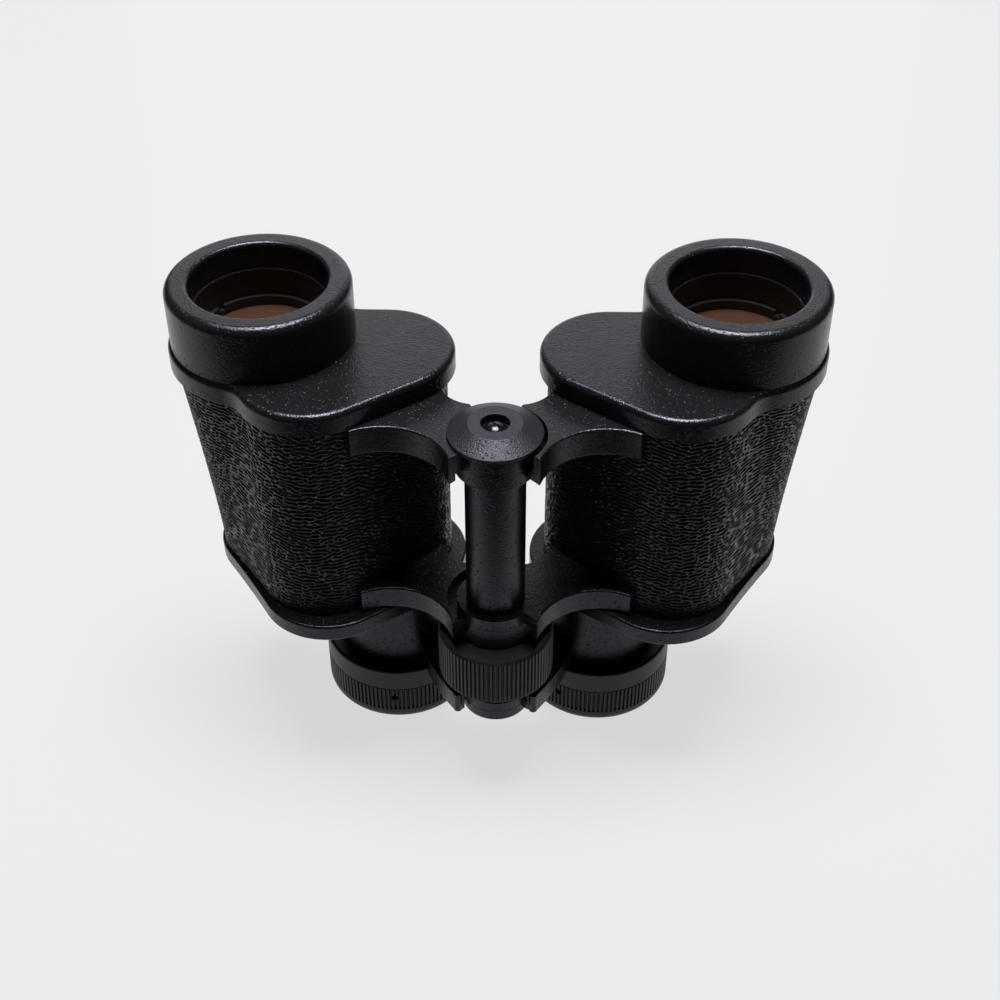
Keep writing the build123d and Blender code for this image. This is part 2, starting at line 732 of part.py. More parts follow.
def ribbed_disc(centre, radius, ribs, bottom, top):
    """Solid disc with straight ribs round its edge."""
    points = []
    pitch = 2 * pi / ribs
    for rib in range(ribs):
        for share, depth in ((0.0, 0.0), (0.45, 0.0), (0.65, RIB_DEPTH), (0.8, RIB_DEPTH)):
            angle = pitch * (rib + share)
            points.append(((radius - depth) * cos(angle), (radius - depth) * sin(angle)))
    face = make_face(Polyline(*points, close=True))
    return Pos(centre[0], centre[1], bottom) * extrude(face, top - bottom)


GRUB_START = EYECUP_R - RIB_DEPTH - GRUB_LENGTH - GRUB_R


def grub_place(angle):
    """Frame of the grub screw that locks the eyecup, pointing out from its inner end."""
    way = Vector(cos(radians(angle)), sin(radians(angle)), 0)
    spot = Vector(EYEPIECE_X, EYEPIECE_Y, GRUB_HEIGHT) + way * GRUB_START
    return Plane(origin=spot, x_dir=(0, 0, 1), z_dir=way)


def eyecup(grub_angle):
    shelf = EYE_TUBE_BOTTOM + FACE_GAP
    cup = turned(
        EYEPIECE,
        (EYECUP_BOWL_R, 0),
        (EYECUP_R, 0),
        (EYECUP_R, RIM_HEIGHT),
        (EYECUP_R - RIB_DEPTH, RIM_HEIGHT),
        (EYECUP_R - RIB_DEPTH, EYECUP_HEIGHT),
        (EYE_TUBE_R + RUNNING_FIT, EYECUP_HEIGHT),
        (EYE_TUBE_R + RUNNING_FIT, shelf),
        (EYECUP_NECK_R, shelf),
        (EYECUP_NECK_R, EYECUP_BOWL_DEPTH + EYECUP_NECK_RISE),
        (EYECUP_BOWL_R, EYECUP_BOWL_DEPTH),
    )
    cup = fillet(circles(cup, EYECUP_R, 0), EYECUP_ROUND)
    band = ribbed_disc(EYEPIECE, EYECUP_R, EYECUP_RIBS, RIM_HEIGHT, EYECUP_HEIGHT)
    cup += band - disc(EYEPIECE, EYECUP_BOWL_R, RIM_HEIGHT, EYECUP_HEIGHT)
    hole = Cylinder(GRUB_R + FIXED_FIT, EYECUP_R, align=(Align.CENTER, Align.CENTER, Align.MIN))
    return cup - grub_place(grub_angle) * hole


def eyecup_screw(grub_angle):
    shank = Cylinder(GRUB_R, GRUB_LENGTH, align=(Align.CENTER, Align.CENTER, Align.MIN))
    slot = Pos(0, 0, GRUB_LENGTH) * Box(2 * GRUB_R, SLOT_WIDTH, 2 * SLOT_DEPTH)
    return grub_place(grub_angle) * (shank - slot)


# Bridge that carries both eyepieces, lapped on the spindle's bush like the hinge lugs
BRIDGE_FRONT_JOIN = (19.4, 13.2)
BRIDGE_FRONT_HOLLOW = (14.8, 2.2)
BRIDGE_TIP = (10.2, -5.0)
BRIDGE_TIP_ROUND = (9.2, -5.8)
BRIDGE_TIP_INNER = (8.2, -5.0)
BRIDGE_BACK = (4.6, 8.4)
BRIDGE_BACK_HOLLOW = (9.0, 11.6)
BRIDGE_BACK_JOIN = (11.6, 20.4)


def bridge_arm(ring_on_top, bore_r):
    plan = [
        ThreePointArc(BRIDGE_FRONT_JOIN, BRIDGE_FRONT_HOLLOW, BRIDGE_TIP),
        ThreePointArc(BRIDGE_TIP, BRIDGE_TIP_ROUND, BRIDGE_TIP_INNER),
        Line(BRIDGE_TIP_INNER, HINGE),
        Line(HINGE, BRIDGE_BACK),
        ThreePointArc(BRIDGE_BACK, BRIDGE_BACK_HOLLOW, BRIDGE_BACK_JOIN),
        Line(BRIDGE_BACK_JOIN, EYEPIECE),
        Line(EYEPIECE, BRIDGE_FRONT_JOIN),
    ]
    arm = prism_plan(plan, BRIDGE_BOTTOM, BRIDGE_TOP)
    hub = (HUB_R, HUB_POCKET_R, bore_r)
    arm = lapped_arm(arm, *hub, BRIDGE_BOTTOM, BRIDGE_SEAM, BRIDGE_TOP, ring_on_top)
    arm += disc(EYEPIECE, SLEEVE_R, INDEX_RING_TOP, BRIDGE_TOP)
    return arm - disc(EYEPIECE, SLEEVE_R - BRIDGE_RING, INDEX_RING_TOP, BRIDGE_TOP)


# Hinge axle and what is on it
def hinge_axle():
    axle = tube(HINGE, AXLE_R - FIXED_FIT, AXLE_BORE, AXLE_BOTTOM, BODY_TOP)
    groove = AXLE_BOTTOM + CIRCLIP_EDGE
    return axle - tube(HINGE, AXLE_R, AXLE_R - CIRCLIP_GROOVE, groove, groove + CIRCLIP_THICKNESS)


def axle_circlip():
    bottom = AXLE_BOTTOM + CIRCLIP_EDGE
    clip = tube(HINGE, CIRCLIP_R, AXLE_R - CIRCLIP_GROOVE, bottom, bottom + CIRCLIP_THICKNESS)
    opening = Box(AXLE_R, 2 * FAR, FAR, align=(Align.CENTER, Align.MIN, Align.CENTER))
    return clip - opening


def hinge_tube():
    return tube(HINGE, TUBE_R, AXLE_R, LOWER_ARM_TOP, UPPER_LUG_FOOT)


CAP_BOTTOM = BODY_TOP + FACE_GAP
CAP_SCREW_SEAT = CAP_BOTTOM + CAP_HEIGHT - CAP_HOLE_DEPTH


def hinge_cap():
    """Flat-topped cone that screws into the axle and closes the hinge."""
    spigot = AXLE_BORE - FIXED_FIT
    screw = CAP_SCREW_R + FIXED_FIT
    cap = turned(
        HINGE,
        (screw, CAP_BOTTOM - CAP_SPIGOT_LENGTH),
        (spigot, CAP_BOTTOM - CAP_SPIGOT_LENGTH),
        (spigot, BODY_TOP),
        (AXLE_R - FIXED_FIT, BODY_TOP),
        (AXLE_R - FIXED_FIT, CAP_BOTTOM),
        (CAP_R, CAP_BOTTOM),
        (CAP_R, CAP_BOTTOM + CAP_EDGE),
        (CAP_FLAT_R, CAP_BOTTOM + CAP_HEIGHT),
        (CAP_HOLE_R, CAP_BOTTOM + CAP_HEIGHT),
        (CAP_HOLE_R, CAP_SCREW_SEAT),
        (screw, CAP_SCREW_SEAT),
    )
    top = CAP_BOTTOM + CAP_HEIGHT
    rims = circles(cap, CAP_R, CAP_BOTTOM + CAP_EDGE)
    rims += circles(cap, CAP_FLAT_R, top) + circles(cap, CAP_HOLE_R, top)
    return fillet(rims, CAP_ROUND)


def cap_screw():
    """Domed slotted screw at the bottom of the cap's hole."""
    bottom = CAP_SCREW_SEAT - CAP_SCREW_LENGTH
    curve = (CAP_SCREW_HEAD_R**2 + CAP_SCREW_DOME**2) / (2 * CAP_SCREW_DOME)
    dome = lens_arc(CAP_SCREW_SEAT + CAP_SCREW_DOME, curve, CAP_SCREW_HEAD_R, -1)
    shank = Polyline(
        (CAP_SCREW_HEAD_R, CAP_SCREW_SEAT),
        (CAP_SCREW_R, CAP_SCREW_SEAT),
        (CAP_SCREW_R, bottom),
        (0, bottom),
        (0, CAP_SCREW_SEAT + CAP_SCREW_DOME),
    )
    screw = revolve(make_face(Plane.XZ * Curve([dome, shank])), Axis.Z)
    slot = Box(2 * CAP_SCREW_HEAD_R, SLOT_WIDTH, 2 * SLOT_DEPTH)
    return screw - Location((0, 0, CAP_SCREW_SEAT + CAP_SCREW_DOME), (0, 0, CAP_SLOT_ANGLE)) * slot


def hinge_washer():
    """Spacer on the axle between the focus wheel and the lower lugs."""
    bottom = WHEEL_TOP + FACE_GAP
    return tube(HINGE, WASHER_R, AXLE_R - FIXED_FIT, bottom, LOWER_ARM_BOTTOM - FACE_GAP)


# Focus wheel, nut, spindle and bush
def focus_wheel():
    shoulder = AXLE_BOTTOM + CIRCLIP_EDGE + CIRCLIP_THICKNESS + FACE_GAP
    bore = AXLE_R + RUNNING_FIT - FIXED_FIT
    blank = turned(
        HINGE,
        (WHEEL_CAVITY_R, WHEEL_BOTTOM),
        (WHEEL_R - WHEEL_CHAMFER, WHEEL_BOTTOM),
        (WHEEL_R, WHEEL_BOTTOM + WHEEL_CHAMFER),
        (WHEEL_R, WHEEL_TOP - WHEEL_CHAMFER),
        (WHEEL_R - WHEEL_CHAMFER, WHEEL_TOP),
        (bore, WHEEL_TOP),
        (bore, shoulder),
        (WHEEL_CAVITY_R, shoulder),
    )
    return blank & ribbed_disc(HINGE, WHEEL_R, WHEEL_RIBS, WHEEL_BOTTOM, WHEEL_TOP)


def focus_nut():
    return tube(HINGE, WHEEL_CAVITY_R, SPINDLE_R + RUNNING_FIT, WHEEL_BOTTOM, WHEEL_BOTTOM + NUT_HEIGHT)


def focus_spindle():
    spindle = disc(HINGE, SPINDLE_R, BRIDGE_BOTTOM, BRIDGE_BOTTOM + SPINDLE_LENGTH)
    return spindle - disc(HINGE, END_SCREW_SHANK_R, BRIDGE_BOTTOM, BRIDGE_BOTTOM + END_SCREW_LENGTH)


def bridge_bush():
    return turned(
        HINGE,
        (SPINDLE_R, BRIDGE_BOTTOM),
        (BUSH_R, BRIDGE_BOTTOM),
        (BUSH_R, BRIDGE_TOP + FACE_GAP),
        (BUSH_FLANGE_R, BRIDGE_TOP + FACE_GAP),
        (BUSH_FLANGE_R, BRIDGE_TOP + FACE_GAP + BUSH_FLANGE),
        (SPINDLE_R, BRIDGE_TOP + FACE_GAP + BUSH_FLANGE),
    )


def bridge_end_screw():
    bottom = BRIDGE_BOTTOM - END_SCREW_HEAD
    head = disc(HINGE, END_SCREW_R, bottom, BRIDGE_BOTTOM)
    head = chamfer(circles(head, END_SCREW_R, bottom), HUB_CHAMFER)
    screw = head + disc(HINGE, END_SCREW_SHANK_R, BRIDGE_BOTTOM, BRIDGE_BOTTOM + END_SCREW_LENGTH)
    return screw - Pos(0, 0, bottom) * Box(2 * END_SCREW_R, 2 * SLOT_WIDTH, 2 * SLOT_DEPTH)


# The right lugs are fixed on the axle and on the bush, and the left ones turn on them
FIXED_LUG_BORE = AXLE_R
TURNING_LUG_BORE = AXLE_R + RUNNING_FIT - FIXED_FIT
FIXED_HUB_BORE = BUSH_R
TURNING_HUB_BORE = BUSH_R + RUNNING_FIT

TWIN_PIECES = {
    "objective_cover": objective_cover,
    "objective_barrel": objective_barrel,
    "objective_cell": objective_cell,
    "objective_flint": objective_flint,
    "objective_crown": objective_crown,
    "objective_retainer": objective_retainer,
    "prism_clips": prism_clips,
    "eyepiece_cover": eyepiece_cover,
    "guide_tube": guide_tube,
    "cover_screws": cover_screws,
    "strap_lug": strap_lug,
    "eyepiece_sleeve": eyepiece_sleeve,
    "index_ring": index_ring,
    "lens_tube": lens_tube,
    "eye_lens": eye_lens,
    "field_lens": field_lens,
    "eye_lens_ring": eye_lens_ring,
}
CENTRE_PIECES = {
    "hinge_axle": hinge_axle,
    "axle_circlip": axle_circlip,
    "hinge_tube": hinge_tube,
    "hinge_cap": hinge_cap,
    "cap_screw": cap_screw,
    "hinge_washer": hinge_washer,
    "focus_wheel": focus_wheel,
    "focus_nut": focus_nut,
    "focus_spindle": focus_spindle,
    "bridge_bush": bridge_bush,
    "bridge_end_screw": bridge_end_screw,
}


def left(piece):
    return mirror(piece, about=Plane.YZ)


def all_pieces():
    pieces = {name: make() for name, make in CENTRE_PIECES.items()}
    for name, make in TWIN_PIECES.items():
        pieces["right_" + name] = make()
        pieces["left_" + name] = left(pieces["right_" + name])
    for name, start, end, height, way in (
        ("upper_prism", MIDDLE, EYEPIECE, UPPER_PRISM_Z, 1),
        ("lower_prism", OBJECTIVE, MIDDLE, LOWER_PRISM_Z, -1),
    ):
        pieces["right_" + name] = prism(start, end, height, way)
        pieces["left_" + name] = left(pieces["right_" + name])
    # The left lug is the upper one of the top hinge, and the right lug of the bottom hinge
    pieces["right_housing"] = housing(False, FIXED_LUG_BORE)
    pieces["left_housing"] = left(housing(True, TURNING_LUG_BORE))
    pieces["right_leatherette"] = leatherette(False, FIXED_LUG_BORE)
    pieces["left_leatherette"] = left(leatherette(True, TURNING_LUG_BORE))
    for name, make in (("eyecup", eyecup), ("eyecup_screw", eyecup_screw)):
        pieces["right_" + name] = make(RIGHT_GRUB_ANGLE)
        pieces["left_" + name] = left(make(LEFT_GRUB_ANGLE))
    pieces["right_bridge_arm"] = bridge_arm(False, FIXED_HUB_BORE)
    pieces["left_bridge_arm"] = left(bridge_arm(True, TURNING_HUB_BORE))
    return pieces


os.makedirs("parts", exist_ok=True)
for node, piece in all_pieces().items():
    export_step(Pos(0, HINGE_Y, 0) * piece, f"parts/{node}.step")
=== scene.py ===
import json
from math import pi, radians

import bmesh
import bpy
import numpy as np
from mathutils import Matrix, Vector


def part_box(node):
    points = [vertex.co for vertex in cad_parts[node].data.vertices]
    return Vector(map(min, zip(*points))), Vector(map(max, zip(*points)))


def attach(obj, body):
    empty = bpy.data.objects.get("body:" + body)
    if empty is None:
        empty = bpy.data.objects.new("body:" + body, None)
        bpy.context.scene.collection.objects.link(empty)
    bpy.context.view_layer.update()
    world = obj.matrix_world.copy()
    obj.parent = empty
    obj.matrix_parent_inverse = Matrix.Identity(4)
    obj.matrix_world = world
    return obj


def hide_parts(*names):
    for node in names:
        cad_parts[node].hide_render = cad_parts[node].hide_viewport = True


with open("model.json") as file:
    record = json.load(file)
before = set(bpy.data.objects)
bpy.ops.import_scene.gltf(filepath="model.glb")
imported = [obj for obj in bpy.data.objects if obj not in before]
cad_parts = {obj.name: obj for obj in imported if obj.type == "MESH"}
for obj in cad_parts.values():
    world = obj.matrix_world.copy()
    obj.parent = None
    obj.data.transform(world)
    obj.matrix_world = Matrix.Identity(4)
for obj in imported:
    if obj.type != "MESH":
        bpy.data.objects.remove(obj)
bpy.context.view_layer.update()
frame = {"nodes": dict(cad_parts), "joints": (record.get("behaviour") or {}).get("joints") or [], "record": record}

MM = 0.001


# Colours, nodes and pieces
def linear(hex_colour):
    """Linear RGBA of an sRGB hex colour."""
    parts = [int(hex_colour[i : i + 2], 16) / 255 for i in (0, 2, 4)]
    parts = [p / 12.92 if p <= 0.04045 else ((p + 0.055) / 1.055) ** 2.4 for p in parts]
    return (*parts, 1.0)


def add(tree, kind, inputs=None, links=None, **settings):
    """Node of a kind, with its settings, its fixed inputs and the outputs linked to its other inputs."""
    node = tree.nodes.new(kind)
    for name, value in settings.items():
        setattr(node, name, value)
    for name, value in (inputs or {}).items():
        node.inputs[name].default_value = value
    for name, output in (links or {}).items():
        tree.links.new(output, node.inputs[name])
    return node


def new_material(name):
    """Empty material with its node tree."""
    material = bpy.data.materials.new(name)
    material.use_nodes = True
    material.node_tree.nodes.clear()
    return material, material.node_tree


def point(tree):
    """Place of each point of the surface, in metres."""
    return add(tree, "ShaderNodeTexCoord").outputs["Object"]


def output(tree, shader):
    """Shader as what the material shows."""
    add(tree, "ShaderNodeOutputMaterial", links={"Surface": shader.outputs["BSDF"]})


def per(size_mm):
    """Texture scale for a pattern whose features are this many millimetres apart."""
    return 1 / (size_mm * MM)


def placed(mesh, material):
    """Smooth piece of one material, in the scene."""
    mesh.shade_smooth()
    mesh.materials.append(material)
    piece = bpy.data.objects.new(mesh.name, mesh)
    bpy.context.scene.collection.objects.link(piece)
    return piece


def middle_of(node):
    """Plan point in the middle of a node's box, as a complex number in metres."""
    low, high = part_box(node)
    return complex((low.x + high.x) / 2, (low.y + high.y) / 2)


# Most of a noise texture lies between these values, so they span the range from bright to dull
NOISE_LOW = 0.3
NOISE_HIGH = 0.7

# A black finish reflects a little less than clear varnish. On enamel and leathercloth the reflection is cool
BLACK_GLOSS = 0.32
COOL = "eaecff"

# Stoved enamel, baked on cast and turned alloy: a semi-gloss black with a low orange peel,
# a fine pebble and scattered pinholes, so every highlight is a little broken
PEEL_MM = 1.6
PEEL_DEPTH_MM = 0.03
PINHOLE_SPACING_MM = 0.85
PINHOLE_MM = 0.26
PINHOLE_DEPTH_MM = 0.128


def stoved_enamel(name, pebble_mm, pebble_depth_mm, dull, bright):
    material, tree = new_material(name)
    place = point(tree)
    peel = add(tree, "ShaderNodeTexNoise", {"Scale": per(PEEL_MM), "Detail": 1.0}, {"Vector": place})
    pebble = add(tree, "ShaderNodeTexNoise", {"Scale": per(pebble_mm), "Detail": 2.0}, {"Vector": place})
    spots = add(tree, "ShaderNodeTexVoronoi", {"Scale": per(PINHOLE_SPACING_MM)}, {"Vector": place})
    # Gloss, which falls to nothing in the middle of a pinhole: painted shade in each pit, and the same fall gives
    # the pit its depth in the bump
    gloss_with_painted_pit_shade = add(
        tree,
        "ShaderNodeMapRange",
        {"From Min": 0.0, "From Max": PINHOLE_MM / PINHOLE_SPACING_MM, "To Min": 0.0, "To Max": BLACK_GLOSS},
        {"Value": spots.outputs["Distance"]},
        interpolation_type="SMOOTHSTEP",
    )
    roughness = add(
        tree,
        "ShaderNodeMapRange",
        {"From Min": NOISE_LOW, "From Max": NOISE_HIGH, "To Min": bright, "To Max": dull},
        {"Value": pebble.outputs["Fac"]},
    )
    peeled = add(
        tree,
        "ShaderNodeBump",
        {"Strength": 1.0, "Distance": PEEL_DEPTH_MM * MM},
        {"Height": peel.outputs["Fac"]},
    )
    pebbled = add(
        tree,
        "ShaderNodeBump",
        {"Strength": 1.0, "Distance": pebble_depth_mm * MM},
        {"Height": pebble.outputs["Fac"], "Normal": peeled.outputs["Normal"]},
    )
    pitted = add(
        tree,
        "ShaderNodeBump",
        {"Strength": 0.75, "Distance": PINHOLE_DEPTH_MM * MM / BLACK_GLOSS},
        {"Height": gloss_with_painted_pit_shade.outputs["Result"], "Normal": pebbled.outputs["Normal"]},
    )
    shader = add(
        tree,
        "ShaderNodeBsdfPrincipled",
        {"Base Color": linear("101012"), "Specular Tint": linear(COOL)},
        {
            "Roughness": roughness.outputs["Result"],
            # Painted shade: the reflection fades out inside each pinhole
            "Specular IOR Level": gloss_with_painted_pit_shade.outputs["Result"],
            "Normal": pitted.outputs["Normal"],
        },
    )
    output(tree, shader)
    return material


# Leathercloth, embossed and glued round the housing: a semi-gloss vinyl skin whose wrinkles are modelled,
# with a finer crease and pores that only the light shows
CREASE_MM = 0.55
CREASE_DEPTH_MM = 0.05
PORE_MM = 0.2
PORE_DEPTH_MM = 0.02


def leathercloth(name, dull, bright):
    material, tree = new_material(name)
    place = point(tree)
    crease = add(
        tree,
        "ShaderNodeTexVoronoi",
        {"Scale": per(CREASE_MM)},
        {"Vector": place},
        feature="DISTANCE_TO_EDGE",
    )
    pores = add(tree, "ShaderNodeTexNoise", {"Scale": per(PORE_MM), "Detail": 2.0}, {"Vector": place})
    roughness = add(
        tree,
        "ShaderNodeMapRange",
        {"From Min": NOISE_LOW, "From Max": NOISE_HIGH, "To Min": bright, "To Max": dull},
        {"Value": pores.outputs["Fac"]},
    )
    creased = add(
        tree,
        "ShaderNodeBump",
        {"Strength": 0.3, "Distance": CREASE_DEPTH_MM * MM},
        {"Height": crease.outputs["Distance"]},
    )
    pored = add(
        tree,
        "ShaderNodeBump",
        {"Strength": 0.3, "Distance": PORE_DEPTH_MM * MM},
        {"Height": pores.outputs["Fac"], "Normal": creased.outputs["Normal"]},
    )
    shader = add(
        tree,
        "ShaderNodeBsdfPrincipled",
        {"Base Color": linear("131314"), "Specular IOR Level": BLACK_GLOSS, "Specular Tint": linear(COOL)},
        {"Roughness": roughness.outputs["Result"], "Normal": pored.outputs["Normal"]},
    )
    output(tree, shader)
    return material


# Turned pieces: tool marks run round the axis, so they are bands along its height,
# drawn further apart than a lathe leaves them so that they show
WAVE_RADIANS = 20
GRAIN_MM = 0.3
GRAIN_DEPTH_MM = 0.01


def turned_finish(name, colour, dull, bright, mark_mm, mark_depth_mm, metallic=0.0):
    material, tree = new_material(name)
    place = point(tree)
    # Blender's wave turns through so many radians in each unit of its scale
    marks = add(
        tree,
        "ShaderNodeTexWave",
        {"Scale": per(mark_mm) * 2 * pi / WAVE_RADIANS, "Distortion": 0.6, "Detail": 1.0},
        {"Vector": place},
        bands_direction="Z",
    )
    grain = add(tree, "ShaderNodeTexNoise", {"Scale": per(GRAIN_MM), "Detail": 2.0}, {"Vector": place})
    roughness = add(
        tree,
        "ShaderNodeMapRange",
        {"From Min": NOISE_LOW, "From Max": NOISE_HIGH, "To Min": bright, "To Max": dull},
        {"Value": grain.outputs["Fac"]},
    )
    marked = add(
        tree,
        "ShaderNodeBump",
        {"Strength": 0.5, "Distance": mark_depth_mm * MM},
        {"Height": marks.outputs["Fac"]},
    )
    grained = add(
        tree,
        "ShaderNodeBump",
        {"Strength": 0.5, "Distance": GRAIN_DEPTH_MM * MM},
        {"Height": grain.outputs["Fac"], "Normal": marked.outputs["Normal"]},
    )
    shader = add(
        tree,
        "ShaderNodeBsdfPrincipled",
        {"Base Color": linear(colour), "Metallic": metallic, "Specular IOR Level": BLACK_GLOSS},
        {"Roughness": roughness.outputs["Result"], "Normal": grained.outputs["Normal"]},
    )
    output(tree, shader)
    return material


# Optical glass, polished: its body colour is painted light, standing in for what little light comes back out of
# the dark tube behind it, and its coating tints the reflection
def optical_glass(name, body, clear, tint):
    material, tree = new_material(name)
    shader = add(
        tree,
        "ShaderNodeBsdfPrincipled",
        {
            "Base Color": linear(body),
            "Transmission Weight": clear,
            "Roughness": 0.0,
            "IOR": 1.52,
            "Specular Tint": linear(tint),
        },
    )
    output(tree, shader)
    return material


ENAMEL = stoved_enamel("stoved_enamel", pebble_mm=0.36, pebble_depth_mm=0.085, dull=0.26, bright=0.17)
# The hinge cap's coat is thicker and sprayed dry, so it is coarser and duller
CAP_ENAMEL = stoved_enamel("pebbled_enamel", pebble_mm=0.34, pebble_depth_mm=0.12, dull=0.5, bright=0.38)
LEATHERCLOTH = leathercloth("leathercloth", dull=0.27, bright=0.17)
# An oxide skin hides the metal of blued steel and leaves a clean dark gloss
BLUED_STEEL = turned_finish("blued_steel", "0c0c0d", dull=0.26, bright=0.18, mark_mm=1.9, mark_depth_mm=0.005)
# The objectives' brown body colour is a painted glow, for the amber light that comes back out from inside the lens
BLOOMED_GLASS_PAINTED_GLOW = optical_glass("bloomed_glass_painted_glow", body="5c4032", clear=0.65, tint="ffc4a0")
FINISHES = {
    "lacquer": ENAMEL,
    "leatherette": LEATHERCLOTH,
    # Dyed and sealed after turning: an even satin black
    "anodised": turned_finish(
        "black_anodised_aluminium", "121214", dull=0.5, bright=0.38, mark_mm=2.5, mark_depth_mm=0.01
    ),
    # Moulded in a turned die: the same satin, a little darker and smoother
    "black_plastic": turned_finish(
        "moulded_phenolic", "0b0b0c", dull=0.46, bright=0.36, mark_mm=3.8, mark_depth_mm=0.006
    ),
    # Ridged and blackened against stray light: dull, with the strongest marks
    "blackened_metal": turned_finish(
        "blackened_aluminium", "141414", dull=0.5, bright=0.36, mark_mm=3.1, mark_depth_mm=0.03
    ),
    # Bare metals as the lathe left them: soft reflections in the metal's own colour
    "brass": turned_finish(
        "turned_brass", "b48a4a", dull=0.36, bright=0.24, mark_mm=1.9, mark_depth_mm=0.01, metallic=1.0
    ),
    "steel": turned_finish(
        "turned_steel", "8c8c8e", dull=0.4, bright=0.28, mark_mm=1.9, mark_depth_mm=0.01, metallic=1.0
    ),
    "glass": optical_glass("crown_glass", body="6e7470", clear=1.0, tint="ffffff"),
    "coated_glass": BLOOMED_GLASS_PAINTED_GLOW,
}
for part in frame["record"]["subparts"]:
    node = frame["nodes"][part["node"]]
    for slot in node.material_slots:
        slot.material = FINISHES[part["material_slot"]]
frame["nodes"]["hinge_cap"].material_slots[0].material = CAP_ENAMEL
frame["nodes"]["cap_screw"].material_slots[0].material = BLUED_STEEL


# Leathercloth skins, with the outline of the housing's covering and its wrinkled grain as real relief
BODY_TOP_O = 20.5 * MM
BODY_FOOT_O = 15.1 * MM
BODY_M = 15.8 * MM
BODY_E = 14.3 * MM
TOP_VALLEY = 9.0 * MM
FOOT_VALLEY = 300.0 * MM
BODY_BACK = 6.0 * MM
LOBE_E_SET_FORWARD = 1.6 * MM
LEATHER = 0.8 * MM
SKIN_STEP = 0.2 * MM
SKIN_FOOT, SKIN_TOP = (corner.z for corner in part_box("right_leatherette"))

# Ridges lie a pitch apart and run round the housing for about their length before they bend or fork.
# As shares of the pitch, it varies by PITCH_SPREAD, and stretches that run up lie UPRIGHT_PITCH apart.
# A higher BEND_LIMIT lets ridges bend more, and a higher CREST_FLATNESS squares their crests.
WRINKLE_PITCH = 1.05 * MM
WRINKLE_LENGTH = 1.6 * MM
WRINKLE_DEPTH = 0.44 * MM
PITCH_SPREAD = 0.3
UPRIGHT_PITCH = 0.8
BEND_LIMIT = 0.9
CREST_FLATNESS = 0.8
MEASURING_POINTS = 60


def arc(centre, start, end, clockwise=False):
    """Arc about a centre as a function of a share from 0 to 1, clockwise or else the shorter way."""
    first = np.angle(start - centre)
    turn = np.angle(end - centre) - first
    if clockwise:
        turn = -((-turn) % (2 * pi))
    else:
        turn = (turn + pi) % (2 * pi) - pi
    return lambda share: centre + abs(start - centre) * np.exp(1j * (first + turn * share))


def line(start, end):
    """Straight stretch as a function of a share from 0 to 1."""
    return lambda share: start + (end - start) * share


def toward(start, end, distance):
    """Point at a distance from the start on the way to the end."""
    return start + (end - start) / abs(end - start) * distance


def housing_outline(r_o, valley_r, inset):
    """Seven stretches round the lobes at the objective, the middle leg and the eyepiece, as functions."""
    o = middle_of("right_objective_barrel")
    e = middle_of("right_eyecup")
    # The middle leg stands at the square corner of the light's path between the two axes
    m = (o + e) / 2 + (o - e) * -0.5j
    e -= LOBE_E_SET_FORWARD * 1j
    r_o, r_m, r_e = r_o - inset, BODY_M - inset, BODY_E - inset
    valley_r, back_r = valley_r + inset, BODY_BACK + inset
    # Hollow between the objective and middle lobes
    base = abs(m - o)
    along = ((r_o + valley_r) ** 2 - (r_m + valley_r) ** 2 + base**2) / (2 * base)
    aside = np.sqrt((r_o + valley_r) ** 2 - along**2)
    valley = o + (m - o) / base * (along + aside * 1j)
    valley_start = toward(o, valley, r_o)
    valley_end = toward(m, valley, r_m)
    # Straight front edge
    lean = (r_m - r_e) / abs(e - m)
    normal = (e - m) / abs(e - m) * (lean + 1j * np.sqrt(1 - lean**2))
    front_start = m + normal * r_m
    front_end = e + normal * r_e
    # Straight back edge and the hollow at its end
    back_y = e.imag + r_e
    reach = np.sqrt((r_o + back_r) ** 2 - (back_y + back_r - o.imag) ** 2)
    back = complex(o.real - reach, back_y + back_r)
    back_start = complex(e.real, back_y)
    back_end = complex(back.real, back_y)
    objective_start = toward(o, back, r_o)
    return [
        arc(o, objective_start, valley_start, clockwise=True),
        arc(valley, valley_start, valley_end),
        arc(m, valley_end, front_start, clockwise=True),
        line(front_start, front_end),
        arc(e, front_end, back_start, clockwise=True),
        line(back_start, back_end),
        arc(back, back_end, objective_start),
    ]


def steps_along(stretch):
    """Number of skin steps that a stretch is cut into, from its length on a fine polygon."""
    polygon = stretch(np.linspace(0, 1, MEASURING_POINTS))
    return max(2, round(np.abs(np.diff(polygon)).sum() / SKIN_STEP))


def sampled(stretches, counts):
    """Points along the stretches, each with its own count."""
    return np.concatenate([stretch(np.arange(n) / n) for stretch, n in zip(stretches, counts)])


def wrinkles(rows, columns, seed):
    """Height of the grain from -1 to 0: short wavy ridges that run round the housing."""
    noise = np.random.default_rng(seed).standard_normal((rows, columns))
    up = np.fft.fftfreq(rows, SKIN_STEP)[:, None]
    around = np.fft.fftfreq(columns, SKIN_STEP)[None, :]
    pitch = 1 / WRINKLE_PITCH
    band = np.exp(-(((np.hypot(up, around * UPRIGHT_PITCH) - pitch) / (PITCH_SPREAD * pitch)) ** 2))
    band *= np.exp(-((around * WRINKLE_LENGTH / BEND_LIMIT) ** 2))
    height = np.fft.ifft2(np.fft.fft2(noise) * band).real
    # Made as strong in every place as on average, so that no patch stays smooth
    nearby = np.exp(-((np.hypot(up, around) * 2 * WRINKLE_PITCH) ** 2))
    height /= np.sqrt(np.fft.ifft2(np.fft.fft2(height**2) * nearby).real)
    return np.tanh(CREST_FLATNESS * height) / 2 - 0.5


